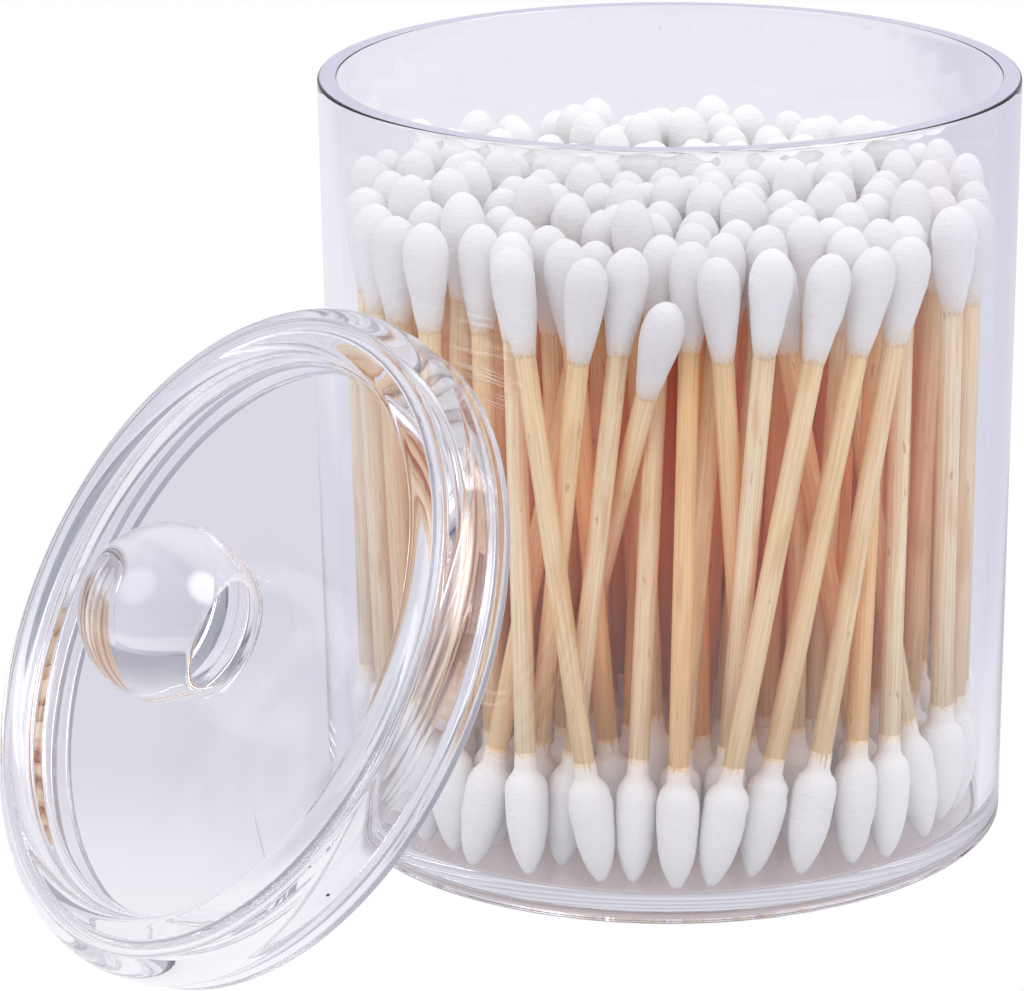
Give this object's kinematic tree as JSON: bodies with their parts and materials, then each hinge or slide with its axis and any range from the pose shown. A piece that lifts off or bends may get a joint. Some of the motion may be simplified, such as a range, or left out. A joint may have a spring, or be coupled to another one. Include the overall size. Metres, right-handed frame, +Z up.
{
  "type": "cotton swab holder",
  "caption": "Round clear jar filled with standing double-ended bamboo swabs, with its clear ball-knob lid taken off and leaning on it.",
  "frame": {"origin": "middle of the jar's foot, on the surface it stands on", "axes": "+Z up along the jar's axis; -Y is the front, and the lid leans on the jar towards -X and -Y"},
  "size_m": [0.1184, 0.1193, 0.0906],
  "materials": {
    "clear_acrylic": "clear, polished",
    "bamboo": "raw, smooth",
    "cotton": "wound cotton wool"
  },
  "bodies": {
    "root": {"jar": "clear_acrylic", "lid": "clear_acrylic", "ring_1_pointed_tips": "cotton", "ring_1_round_tips": "cotton", "ring_1_sticks": "bamboo", "ring_2_pointed_tips": "cotton", "ring_2_round_tips": "cotton", "ring_2_sticks": "bamboo", "ring_3_pointed_tips": "cotton", "ring_3_round_tips": "cotton", "ring_3_sticks": "bamboo", "ring_4_pointed_tips": "cotton", "ring_4_round_tips": "cotton", "ring_4_sticks": "bamboo", "ring_5_pointed_tips": "cotton", "ring_5_round_tips": "cotton", "ring_5_sticks": "bamboo", "ring_6_pointed_tips": "cotton", "ring_6_round_tips": "cotton", "ring_6_sticks": "bamboo", "ring_7_pointed_tips": "cotton", "ring_7_round_tips": "cotton", "ring_7_sticks": "bamboo"}
  },
  "joints": []
}
